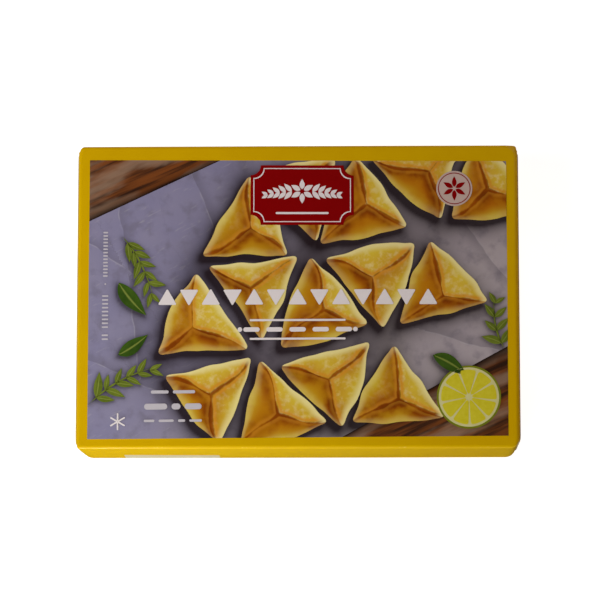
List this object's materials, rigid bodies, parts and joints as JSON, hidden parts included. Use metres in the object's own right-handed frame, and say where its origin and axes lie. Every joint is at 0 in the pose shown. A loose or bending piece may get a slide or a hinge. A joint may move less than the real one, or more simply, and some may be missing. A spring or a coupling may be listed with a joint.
{
  "type": "frozen food carton",
  "caption": "Shut paperboard freezer carton for baked triangular pastries, a flat box with glued end flaps and a printed front panel.",
  "frame": {"origin": "on the surface that the carton lies on, under the middle of its back panel", "axes": "+X along the front panel as it is read, +Y up the front panel, +Z out of the front panel, which faces up"},
  "size_m": [0.25, 0.174, 0.0459],
  "materials": {
    "varnished_board": "solid yellow ink under gloss varnish",
    "picture_print": "printed picture of pastries on grey baking paper, under gloss varnish",
    "pale_print": "white and pale printed fields, under gloss varnish",
    "red_print": "dark red printed fields, under gloss varnish",
    "bare_board": "raw cut edge of the paperboard"
  },
  "bodies": {
    "root": {"carton": "varnished_board"}
  },
  "joints": []
}
